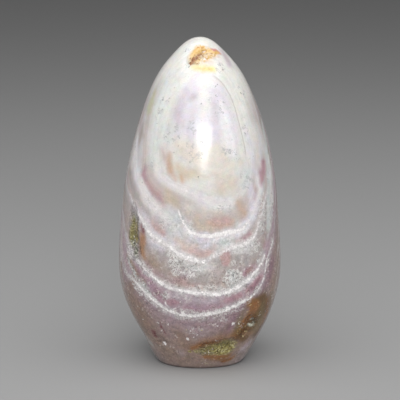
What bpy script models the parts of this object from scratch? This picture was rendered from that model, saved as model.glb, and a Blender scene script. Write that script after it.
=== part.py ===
"""A freeform of ocean jasper: one polished stone, egg-shaped with a narrower top and cut flat below.

Metres, +Z up. The origin is the centre of the flat base. The front of the stone faces -Y, and a
turn is an angle about the upright axis in degrees, 0 at the front and growing towards +X.
"""

import math

import bmesh
import bpy
from mathutils import Matrix, Vector, noise

# Driving dimensions
HEIGHT = 0.150
MIDDLE_HEIGHT = 0.070      # the egg's own equator, above the cut
MIDDLE_HALF_WIDTH = 0.0363
TAPER = 0.0063             # girth lost from the equator to the tip, and gained towards the foot
DEPTH_SHARE = 0.88         # front-to-back size over width
SECTION_POWER = 2.15       # 2 is an ellipse, more is a fuller, slightly squared section
RIM_RADIUS = 0.0008        # softened edge round the cut base

# Gentle rings of more or less girth: height, reach up and down, change of the half width
GIRTH_RINGS = (
    (0.037, 0.013, 0.00125),   # the low belly
    (0.010, 0.008, -0.0010),   # tucked in above the foot
    (0.068, 0.016, -0.0003),
    (0.146, 0.007, -0.0029),   # a blunt point, tighter than an egg's
)

# Broad lumps and flats on one side: turn, height, reach, how far they stand out
LUMPS = (
    (-80, 0.013, 0.012, -0.0012),   # the left flank runs in straighter to the foot
    (70, 0.068, 0.011, -0.0005),
    (-74, 0.056, 0.020, 0.0004),
    (150, 0.052, 0.026, 0.0008),
    (-140, 0.096, 0.026, -0.0010),
    (115, 0.112, 0.022, 0.0005),
    (-165, 0.020, 0.018, -0.0009),
)
UNEVENNESS = 0.00012       # what hand polishing leaves
UNEVENNESS_SIZE = 0.022
TIP_REACH = 0.004          # the lumps fade out this far below the tip

# Hollows lined with small crystals, left open by the polishing:
# turn, height, half width, half height, depth, lean of the upright way to the right in degrees
HOLLOWS = {
    "crown": (8, 0.1415, 0.0066, 0.0050, 0.0008, -25),
    "crown_crevice": (1, 0.1408, 0.0048, 0.0014, 0.0014, -38),
    "left_vug": (-56, 0.0645, 0.0042, 0.0132, 0.0017, -5),
    "left_vug_pocket": (-52, 0.0565, 0.0026, 0.0048, 0.0010, 0),
    "right_pocket": (47, 0.0228, 0.0046, 0.0044, 0.0016, 0),
    "right_trail": (42, 0.0178, 0.0022, 0.0042, 0.0010, 38),
    "foot_crust": (17, 0.0118, 0.0088, 0.0034, 0.0009, 0),
    "foot_left": (-42, 0.0138, 0.0042, 0.0030, 0.0008, 0),
    "belly_pocket": (35, 0.0430, 0.0030, 0.0022, 0.0006, 0),
    "side_cleft": (112, 0.0640, 0.0038, 0.0115, 0.0014, 14),
    "back_shoulder": (163, 0.0980, 0.0056, 0.0088, 0.0014, -26),
    "back_foot": (-152, 0.0225, 0.0092, 0.0048, 0.0013, 0),
    "back_pit": (-116, 0.1120, 0.0034, 0.0048, 0.0009, 10),
}
HOLLOW_EDGE = 0.34         # share of a hollow's radius that its broken edge takes up
CRUST_SIZE = 0.0021        # size of the lumps on a hollow's floor
CRUST_HEIGHT = 0.35        # their height, as a share of the hollow's depth

# Mesh
GRID_CUTS = 23             # cuts along each edge of the starting cube
REFINE_MARGIN = 1.25       # faces this far from a hollow's centre, in its radii, are made finer
REFINE_FOOT = 0.003        # and so are those this near the cut
SNAP_TO_CUT = 0.0004       # points this near the cut are moved onto it, so that it leaves no slivers
ON_THE_CUT = 0.00001

STONE_COLOUR = (0.58, 0.50, 0.47, 1.0)
STONE_ROUGHNESS = 0.16


def clear_scene():
    for obj in list(bpy.data.objects):
        bpy.data.objects.remove(obj, do_unlink=True)
    for mesh in list(bpy.data.meshes):
        bpy.data.meshes.remove(mesh)


def half_width_at(height):
    """Half the stone's width at a height."""
    reach = HEIGHT - MIDDLE_HEIGHT
    rise = max(-1.0, min(1.0, (height - MIDDLE_HEIGHT) / reach))
    girth = MIDDLE_HALF_WIDTH - TAPER * rise
    for centre, spread, change in GIRTH_RINGS:
        girth += change * math.exp(-(((height - centre) / spread) ** 2))
    return girth * math.sqrt(max(0.0, 1.0 - rise * rise))


def section_radius(turn, half_width):
    """Distance from the axis to the surface at a turn, in radians."""
    across = abs(math.sin(turn)) ** SECTION_POWER
    deep = (abs(math.cos(turn)) / DEPTH_SHARE) ** SECTION_POWER
    return half_width * (across + deep) ** (-1.0 / SECTION_POWER)


def on_surface(turn, height):
    """The point of the smooth egg at a turn, in radians, and a height."""
    radius = section_radius(turn, half_width_at(height))
    return Vector((radius * math.sin(turn), -radius * math.cos(turn), height))


def outward(turn, height):
    """The smooth egg's outward normal there."""
    step = 0.0004
    top = min(height, HEIGHT - 3 * step)
    along = on_surface(turn, top + step) - on_surface(turn, top - step)
    round_it = on_surface(turn + 0.01, top) - on_surface(turn - 0.01, top)
    return round_it.cross(along).normalized()


class Hollow:
    """A shallow oval hollow, set flat against the smooth egg at its centre."""

    def __init__(self, turn, height, half_width, half_height, depth, lean):
        self.half_width, self.half_height, self.depth = half_width, half_height, depth
        self.centre = on_surface(math.radians(turn), height)
        self.normal = outward(math.radians(turn), height)
        level = Vector((0, 0, 1)).cross(self.normal).normalized()
        lean_over = Matrix.Rotation(math.radians(-lean), 3, self.normal)
        self.across = lean_over @ level
        self.up = lean_over @ self.normal.cross(level)

    def distance(self, point):
        """Distance from the centre along the surface, in the hollow's own radii."""
        offset = point - self.centre
        behind = max(0.0, -offset.dot(self.normal) / self.half_height - 2.0)
        across = offset.dot(self.across) / self.half_width
        return math.hypot(across, offset.dot(self.up) / self.half_height) + behind

    def depth_at(self, point):
        """How far it sinks the surface: a broken edge round a flatter, lumpy floor."""
        share = (1.0 - self.distance(point)) / HOLLOW_EDGE
        share = max(0.0, min(1.0, share))
        return self.depth * share * share * (3 - 2 * share)


def hollow_depth(point, hollows):
    """How far the hollows sink the surface at a point."""
    crust = 1.0 + CRUST_HEIGHT * noise.noise(point / CRUST_SIZE)
    return crust * max(hollow.depth_at(point) for hollow in hollows)


def lump_height(turn, height):
    """How far the broad lumps and the polishing move the surface out."""
    point = on_surface(turn, height)
    out = UNEVENNESS * noise.noise(point / UNEVENNESS_SIZE)
    for lump_turn, lump_height_at, reach, stand in LUMPS:
        away = (point - on_surface(math.radians(lump_turn), lump_height_at)).length
        out += stand * math.exp(-((away / reach) ** 2))
    return out


def egg_place(direction):
    """Turn and height of the smooth egg for a direction on the unit ball."""
    turn = math.atan2(direction.x, -direction.y)
    return turn, MIDDLE_HEIGHT + (HEIGHT - MIDDLE_HEIGHT) * direction.z


def stone_point(direction, hollows):
    """The finished surface for a direction on the unit ball."""
    turn, height = egg_place(direction)
    point = on_surface(turn, height)
    away_from_tip = min(1.0, max(0.0, HEIGHT - height) / TIP_REACH)
    push = lump_height(turn, height) * away_from_tip - hollow_depth(point, hollows)
    return point + outward(turn, height) * push


def unit_ball():
    """A cube cut into a grid and blown up to a ball, so that no point has crowded faces."""
    ball = bmesh.new()
    bmesh.ops.create_cube(ball, size=2.0)
    bmesh.ops.subdivide_edges(ball, edges=ball.edges, cuts=GRID_CUTS, use_grid_fill=True)
    for vertex in ball.verts:
        vertex.co = Vector(math.tan(part * math.pi / 4) for part in vertex.co).normalized()
    eighth_turn = Matrix.Rotation(math.radians(45), 3, "Z")
    bmesh.ops.rotate(ball, verts=ball.verts, cent=(0, 0, 0), matrix=eighth_turn)
    return ball


def refine(ball, hollows):
    """Halves the faces under the hollows and round the foot, so that their edges show."""
    edges = set()
    for face in ball.faces:
        turn, height = egg_place(face.calc_center_median().normalized())
        point = on_surface(turn, height)
        at_the_cut = abs(height) < REFINE_FOOT
        in_a_hollow = height > 0 and min(hollow.distance(point) for hollow in hollows) < REFINE_MARGIN
        if at_the_cut or in_a_hollow:
            edges.update(face.edges)
    bmesh.ops.subdivide_edges(ball, edges=list(edges), cuts=1, use_grid_fill=True)
    for vertex in ball.verts:
        vertex.co.normalize()


def cut_flat(stone):
    """Cuts the egg off just above the floor and turns the edge under to a flat base."""
    for vertex in stone.verts:
        if abs(vertex.co.z - RIM_RADIUS) < SNAP_TO_CUT:
            flare = half_width_at(RIM_RADIUS) / half_width_at(vertex.co.z)
            vertex.co = Vector((vertex.co.x * flare, vertex.co.y * flare, RIM_RADIUS))
    bmesh.ops.bisect_plane(
        stone,
        geom=stone.verts[:] + stone.edges[:] + stone.faces[:],
        plane_co=(0, 0, RIM_RADIUS),
        plane_no=(0, 0, -1),
        dist=ON_THE_CUT,
        clear_outer=True,
    )
    inset_so_far = 0.0
    for turned_under in (math.radians(45), math.radians(90)):
        inset = RIM_RADIUS * (1 - math.cos(turned_under))
        height = RIM_RADIUS * (1 - math.sin(turned_under))
        edges = [edge for edge in stone.edges if edge.is_boundary]
        ring = bmesh.ops.extrude_edge_only(stone, edges=edges)["geom"]
        for vertex in [part for part in ring if isinstance(part, bmesh.types.BMVert)]:
            flat = vertex.co.to_2d()
            flat -= flat.normalized() * (inset - inset_so_far)
            vertex.co = flat.to_3d() + Vector((0, 0, height))
        inset_so_far = inset
    edges = [edge for edge in stone.edges if edge.is_boundary]
    bmesh.ops.contextual_create(stone, geom=edges)


def stone_material():
    material = bpy.data.materials.new("polished jasper")
    material.use_nodes = True
    shader = material.node_tree.nodes["Principled BSDF"]
    shader.inputs["Base Color"].default_value = STONE_COLOUR
    shader.inputs["Roughness"].default_value = STONE_ROUGHNESS
    shader.inputs["Metallic"].default_value = 0.0
    material.diffuse_color = STONE_COLOUR
    return material


def make_stone(collection):
    hollows = [Hollow(*numbers) for numbers in HOLLOWS.values()]
    form = unit_ball()
    refine(form, hollows)
    for vertex in form.verts:
        vertex.co = stone_point(vertex.co, hollows)
    cut_flat(form)
    bmesh.ops.recalc_face_normals(form, faces=form.faces)
    mesh = bpy.data.meshes.new("stone")
    form.to_mesh(mesh)
    form.free()
    mesh.materials.append(stone_material())
    mesh.shade_smooth()
    mesh.set_sharp_from_angle(angle=math.radians(40))
    stone = bpy.data.objects.new("stone", mesh)
    collection.objects.link(stone)
    return stone


def main():
    clear_scene()
    collection = bpy.data.collections.new("ocean jasper")
    bpy.context.scene.collection.children.link(collection)
    make_stone(collection)


main()
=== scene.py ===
import bpy
import math
import numpy as np
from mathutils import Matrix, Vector, noise
from types import SimpleNamespace


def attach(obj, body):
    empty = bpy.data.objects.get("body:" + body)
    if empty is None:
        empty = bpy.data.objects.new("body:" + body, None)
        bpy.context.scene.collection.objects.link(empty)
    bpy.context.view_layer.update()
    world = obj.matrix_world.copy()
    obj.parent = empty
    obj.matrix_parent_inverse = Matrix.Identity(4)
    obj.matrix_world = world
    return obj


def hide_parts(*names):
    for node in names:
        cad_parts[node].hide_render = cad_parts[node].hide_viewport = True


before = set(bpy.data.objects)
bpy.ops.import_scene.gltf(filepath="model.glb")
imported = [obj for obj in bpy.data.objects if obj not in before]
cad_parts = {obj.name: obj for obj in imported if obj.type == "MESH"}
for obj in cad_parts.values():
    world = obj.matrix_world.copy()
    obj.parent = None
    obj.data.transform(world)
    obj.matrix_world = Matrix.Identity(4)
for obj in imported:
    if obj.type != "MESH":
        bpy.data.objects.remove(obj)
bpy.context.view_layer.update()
mm = 0.001

# where the photo was taken from, and the size of its frame
shot = {
    "distance": 780 * mm,       # in front of the stone, along the floor
    "height": 240 * mm,
    "lens": 156.56,             # mm, on the sensor below
    "sensor": 36,
    "tiltDown": 11.95,          # degrees
    "frame": 400,               # pixels each way
    "nearest": 10 * mm,         # where the camera starts to see
    "slides": 40,               # a pixel just past the outline slides in to it, in this many steps at most
    "slide": 0.985,
}

studio = {
    "floorSize": 12.0,
    "floorGrey": 0.34,
    "floorRoughness": 0.6,
    "worldGrey": 0.18,
    "middle": (0, 0, 0.085),    # what the softboxes aim at
    # place, size, and how bright it looks, in W per square metre and steradian
    "topBox": ((0.0, -0.3, 1.0), (1.4, 1.1), 2.3),
    "fillBox": ((0.0, -1.6, 0.9), (1.6, 1.6), 0.85),
    "leftBox": ((-0.95, -0.15, 0.35), (0.9, 0.9), 0.5),
    "rightBox": ((0.95, -0.15, 0.35), (0.9, 0.9), 0.5),
    "keyPlane": -1.25,          # the key light hangs here, in front of the stone
    # its rows from the top down, narrowing to a point: centre, height, width, depth and glow of each;
    # the last one is the dim light above them
    "keyRows": [(0.11, 0.67, 0.42, 0.04, 3), (0.11, 0.63, 0.48, 0.04, 7), (0.11, 0.58, 0.50, 0.06, 12),
                (0.10, 0.50, 0.38, 0.10, 12), (0.09, 0.41, 0.20, 0.08, 12), (0.08, 0.34, 0.07, 0.06, 9),
                (0.10, 1.00, 0.60, 0.64, 1.1)],
}


def deselectAll():
    for thing in bpy.context.selected_objects:
        thing.select_set(False)


def makeActive(thing):
    deselectAll()
    thing.select_set(True)
    bpy.context.view_layer.objects.active = thing


def addCamera():
    tilt = math.radians(90 - shot["tiltDown"])
    place = (0, -shot["distance"], shot["height"])
    bpy.ops.object.camera_add(location=place, rotation=(tilt, 0, 0))
    camera = bpy.context.object
    camera.name = "photoCamera"
    camera.data.lens = shot["lens"]
    camera.data.sensor_width = shot["sensor"]
    camera.data.clip_start = shot["nearest"]
    bpy.context.scene.camera = camera
    print("camera set")


def softbox(name, place, aim, size, glow):
    bpy.ops.object.light_add(type="AREA", location=place)
    light = bpy.context.object
    light.name = name
    light.data.shape = "RECTANGLE"
    light.data.size, light.data.size_y = size
    light.data.energy = glow * math.pi * size[0] * size[1]
    facing = Vector(aim) - Vector(place)
    light.rotation_euler = facing.to_track_quat("-Z", "Y").to_euler()


def aimedBox(name):
    place, size, glow = studio[name]
    softbox(name, place, studio["middle"], size, glow)


def addStudio():
    aimedBox("topBox")
    plane = studio["keyPlane"]
    for row, (across, height, width, depth, glow) in enumerate(studio["keyRows"]):
        softbox(f"keyBox{row}", (across, plane, height), (across, 0, height), (width, depth), glow)
    for name in ("fillBox", "leftBox", "rightBox"):
        aimedBox(name)
    world = bpy.data.worlds.new("studio")
    world.use_nodes = True
    grey = studio["worldGrey"]
    world.node_tree.nodes["Background"].inputs["Color"].default_value = (grey, grey, grey, 1)
    bpy.context.scene.world = world
    bpy.ops.mesh.primitive_plane_add(size=studio["floorSize"])
    floor = bpy.context.object
    floor.name = "floor"
    paint = bpy.data.materials.new("floorPaint")
    paint.use_nodes = True
    shade = studio["floorGrey"]
    shader = paint.node_tree.nodes["Principled BSDF"]
    shader.inputs["Base Color"].default_value = (shade, shade, shade, 1)
    shader.inputs["Roughness"].default_value = studio["floorRoughness"]
    floor.data.materials.append(paint)
    bpy.context.scene.view_settings.view_transform = "Standard"
    print("studio lit")


form = {
    "mergeWithin": 0.00001,     # metres
    "flatWithin": 40,           # degrees, for making four-sided faces of the triangles
    "squareWithin": 60,
    "smoothing": 2,             # times that each face is cut in four
}


def stoneForm():
    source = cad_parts["stone"]
    mesh = source.data.copy()
    mesh.name = "jasperStone"
    mesh.materials.clear()
    stone = bpy.data.objects.new("jasperStone", mesh)
    bpy.context.scene.collection.objects.link(stone)
    makeActive(stone)
    bpy.ops.object.mode_set(mode="EDIT")
    bpy.ops.mesh.select_all(action="SELECT")
    bpy.ops.mesh.remove_doubles(threshold=form["mergeWithin"])
    flat, square = math.radians(form["flatWithin"]), math.radians(form["squareWithin"])
    bpy.ops.mesh.tris_convert_to_quads(face_threshold=flat, shape_threshold=square)
    bpy.ops.object.mode_set(mode="OBJECT")
    smooth = stone.modifiers.new("fine", "SUBSURF")
    smooth.levels = smooth.render_levels = form["smoothing"]
    bpy.ops.object.modifier_apply(modifier="fine")
    bpy.ops.object.shade_smooth()
    print("stone form:", len(stone.data.polygons), "faces")
    return stone


# where a pixel of the photo lies on the stone, in mm, with the surface's normal and the pixel's size there
def seenAt(stone, across, down):
    tilt = math.radians(shot["tiltDown"])
    forward = Vector((0, math.cos(tilt), -math.sin(tilt)))
    up = Vector((0, math.sin(tilt), math.cos(tilt)))
    lensPixels = shot["lens"] / shot["sensor"] * shot["frame"]
    half = shot["frame"] / 2
    ray = forward + Vector((1, 0, 0)) * ((across - half) / lensPixels) + up * ((half - down) / lensPixels)
    eye = Vector((0, -shot["distance"], shot["height"]))
    for step in range(shot["slides"]):
        hit, place, normal, face = stone.ray_cast(eye, ray.normalized())
        if hit:
            break
        ray.x *= shot["slide"]
    size = (place - eye).dot(forward) / lensPixels
    return np.array(place) / mm, np.array(normal), size / mm


farOut = 0.2      # metres from the stone's middle, well outside it


# where a turn about the upright axis and a height in mm lie on the stone; here a pixel is 1 mm
def turnedTo(stone, turn, height):
    angle = math.radians(turn)
    outwards = Vector((math.sin(angle), -math.cos(angle), 0))
    start = outwards * farOut + Vector((0, 0, height * mm))
    hit, place, normal, face = stone.ray_cast(start, -outwards)
    return np.array(place) / mm, np.array(normal), 1.0


def tangents(normal, lean):
    level = np.cross((0, 0, 1), normal)
    level /= np.linalg.norm(level)
    rise = np.cross(normal, level)
    angle = math.radians(lean)
    return level * math.cos(angle) - rise * math.sin(angle), rise * math.cos(angle) + level * math.sin(angle)


outside = -2.0    # a cover is 1 inside its shape, a half on the edge, and falls to this outside it
wrap = 12         # mm behind a patch's own plane, past which the patch fades


def ovalCover(points, centre, normal, halfWidth, halfHeight, lean, soft, strength):
    across, rise = tangents(normal, lean)
    offset = points - centre
    reach = np.hypot(offset @ across / halfWidth, offset @ rise / halfHeight)
    reach += np.maximum(0, -(offset @ normal) / wrap - 1)
    edge = (reach - 1) * math.sqrt(halfWidth * halfHeight)
    return strength * np.clip(0.5 - edge / soft, outside, 1)


# a line through points, each with its own half width
def lineCover(points, knots, widths, soft, strength):
    nearest = np.full(len(points), np.inf)
    for start, end, startWidth, endWidth in zip(knots, knots[1:], widths, widths[1:]):
        run = end - start
        share = np.clip((points - start) @ run / max(run @ run, 0.001), 0, 1)
        away = np.linalg.norm(points - start - share[:, None] * run, axis=1)
        nearest = np.minimum(nearest, away - startWidth - share * (endWidth - startWidth))
    return strength * np.clip(0.5 - nearest / soft, outside, 1)


# the traced bands: photo pixels along each line, with the white line's half width there
bandLines = {
    "innerArc": [(178.5, 210, .7), (181, 218, 1.2), (185, 226, 1.5), (190, 232, 1.8), (200, 235.5, 2.0),
        (212, 235.5, 2.4), (225, 233.5, 2.8), (235, 231.5, 2.6), (243, 228, 2.0), (249, 221, 1.4)],
    "leftArc": [(136, 170, 1.2), (139, 183, 1.8), (145, 195, 2.8), (152, 205, 3.2), (160, 213, 2.4),
        (167, 219, 1.2)],
    "middleArc": [(126, 178, 1.0), (131, 197, 1.4), (135, 207, 1.6), (141, 218, 2.0), (147, 230, 2.4),
        (155, 238, 2.5), (165, 243.5, 2.3), (175, 250, 2.4), (183, 256, 3.2), (193, 260.5, 3.0),
        (203, 262, 2.0), (212, 258, 1.2), (222, 251.5, 2.2), (235, 247, 3.4), (245, 243.5, 3.4),
        (252, 239, 2.6), (257, 231, 1.8), (259, 223, 1.6), (263, 209, 1.6), (266, 195, 1.6)],
    "lowArc": [(131, 247, .5), (134, 252, .9), (138, 259, 1.2), (143, 267, 1.1), (150, 273.5, 1.6),
        (158, 280.5, 2.2), (165, 286, 2.0), (172, 289, 1.8), (180, 290.6, 1.9), (190, 292.6, 2.1),
        (200, 293.6, 2.4), (210, 294.3, 2.3), (218, 294, 2.2), (226, 292.6, 2.3), (232, 290, 2.8),
        (238, 286.5, 3.0), (246, 281, 2.6), (252, 275.5, 2.0), (257, 270, 1.6), (262, 262, 1.4),
        (265, 254, 1.2)],
    "lowestArc": [(121, 257, .4), (125, 270, .7), (131, 277, 1.1), (137.5, 283.5, 1.7), (144, 290.5, 2.2),
        (151, 297, 2.8), (158, 303, 2.4), (164, 307.5, 2.0), (172, 312, 1.7), (180, 314.5, 1.7),
        (190, 315.5, 2.0), (200, 315.4, 2.6), (210, 314, 2.6), (218, 312, 2.6), (226, 309.5, 2.6),
        (235, 306, 2.2), (243, 301.5, 1.8), (250, 298, 1.2), (257, 291, 1.1), (262, 283, 1.0),
        (265, 275, 1.2), (266, 265, 1.2), (268, 256, 1.2), (271, 248, 1.0), (273, 240, .9)],
    "creamArc": [(159, 175, 2.0), (165, 180, 2.6), (174, 185, 3.4), (185, 190, 3.8), (195, 195, 3.6),
        (205, 200, 3.0), (215, 203, 2.4), (228, 205, 2.0), (235, 200, 2.0)],
    "leftThread": [(147, 118, .3), (145, 140, .6), (144.5, 160, .7), (142, 175, .4)],
    "outerThread": [(138, 132, .3), (136, 150, .6), (135, 165, .8), (131, 180, .5)],
    "rightThread": [(263, 132, .3), (266, 146, .6), (268, 160, .8), (269, 176, .5)],
    # painted reflection: a thin bright line of light along the lower right edge, drawn like a white band
    "edgeThread": [(277, 262, .5), (276, 285, .6), (272, 303, .6), (267, 318, .6), (262, 330, .4)],
    "heartEdge": [(166, 130, 1), (168, 120, 1), (170, 112, 1), (173, 103, 1), (176, 97, 1), (181, 90, 1),
        (187, 83, 1), (193, 78, 1), (200, 74, 1), (207, 74, 1), (215, 77, 1), (222, 83, 1), (228, 92, 1),
        (232, 100, 1), (235, 108, 1), (237, 115, 1), (239, 125, 1), (241, 132, 1), (245, 150, 1),
        (246, 160, 1)],
}

# how deep in the stone's shells each traced band lies
shells = {
    "centre": (9.2, -21.0, 80.7),          # mm
    "stretch": (1.089, 1.754, 0.511),
    "lean": (0.325, 0.0, -0.266),
    "reach": 14.0,                         # mm round a traced point that follows it
    "slack": 0.15,                         # how loosely it follows
    "parts": 8,                            # that the points are taken in, to save memory
    "levels": {"heartEdge": 13.7, "creamArc": 16.5, "innerArc": 23.5, "leftArc": 25.6, "middleArc": 29.8,
        "lowArc": 39.3, "lowestArc": 44.2},
}


def shellDepth(points):
    offset = points - np.array(shells["centre"])
    return np.linalg.norm(offset * np.array(shells["stretch"]), axis=1) + offset @ np.array(shells["lean"])


def near(points, others):
    return np.exp(-((points[:, None] - others[None]) ** 2).sum(-1) / shells["reach"] ** 2)


# the shells, bent so that each traced band lies on one depth
def bentShells(stone, points):
    knots, wanted = [], []
    for name, depth in shells["levels"].items():
        for across, down, width in bandLines[name]:
            knots.append(seenAt(stone, across, down)[0])
            wanted.append(depth)
    knots = np.array(knots)
    gap = np.array(wanted) - shellDepth(knots)
    pull = np.linalg.solve(near(knots, knots) + shells["slack"] * np.eye(len(knots)), gap)
    bend = np.concatenate([near(part, knots) @ pull for part in np.array_split(points, shells["parts"])])
    return shellDepth(points) + bend


palette = {
    "white": (0.82, 0.80, 0.81), "milk": (0.745, 0.712, 0.70), "cream": (0.70, 0.69, 0.65),
    "ivory": (0.71, 0.66, 0.59), "coolWhite": (0.64, 0.66, 0.65), "lavender": (0.655, 0.615, 0.67),
    "paleGrey": (0.53, 0.50, 0.48), "grey": (0.43, 0.39, 0.378), "straw": (0.54, 0.53, 0.38),
    "tan": (0.60, 0.50, 0.39), "peach": (0.67, 0.54, 0.47), "salmon": (0.57, 0.39, 0.29),
    "rosy": (0.60, 0.42, 0.41), "dustyPink": (0.50, 0.345, 0.33), "paleMauve": (0.52, 0.44, 0.48),
    "heather": (0.45, 0.275, 0.31), "mauve": (0.40, 0.262, 0.31), "plum": (0.25, 0.14, 0.18),
    "taupe": (0.34, 0.256, 0.20), "bodyMauve": (0.345, 0.245, 0.262), "bodyBrown": (0.30, 0.203, 0.158),
    "sienna": (0.37, 0.215, 0.13), "crimson": (0.52, 0.15, 0.13), "lemon": (0.74, 0.70, 0.26),
    "umber": (0.16, 0.088, 0.036), "gold": (0.70, 0.46, 0.15), "paleGold": (0.76, 0.66, 0.36),
    "amber": (0.30, 0.14, 0.05), "olive": (0.20, 0.155, 0.07), "mossy": (0.31, 0.28, 0.12),
}
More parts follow.
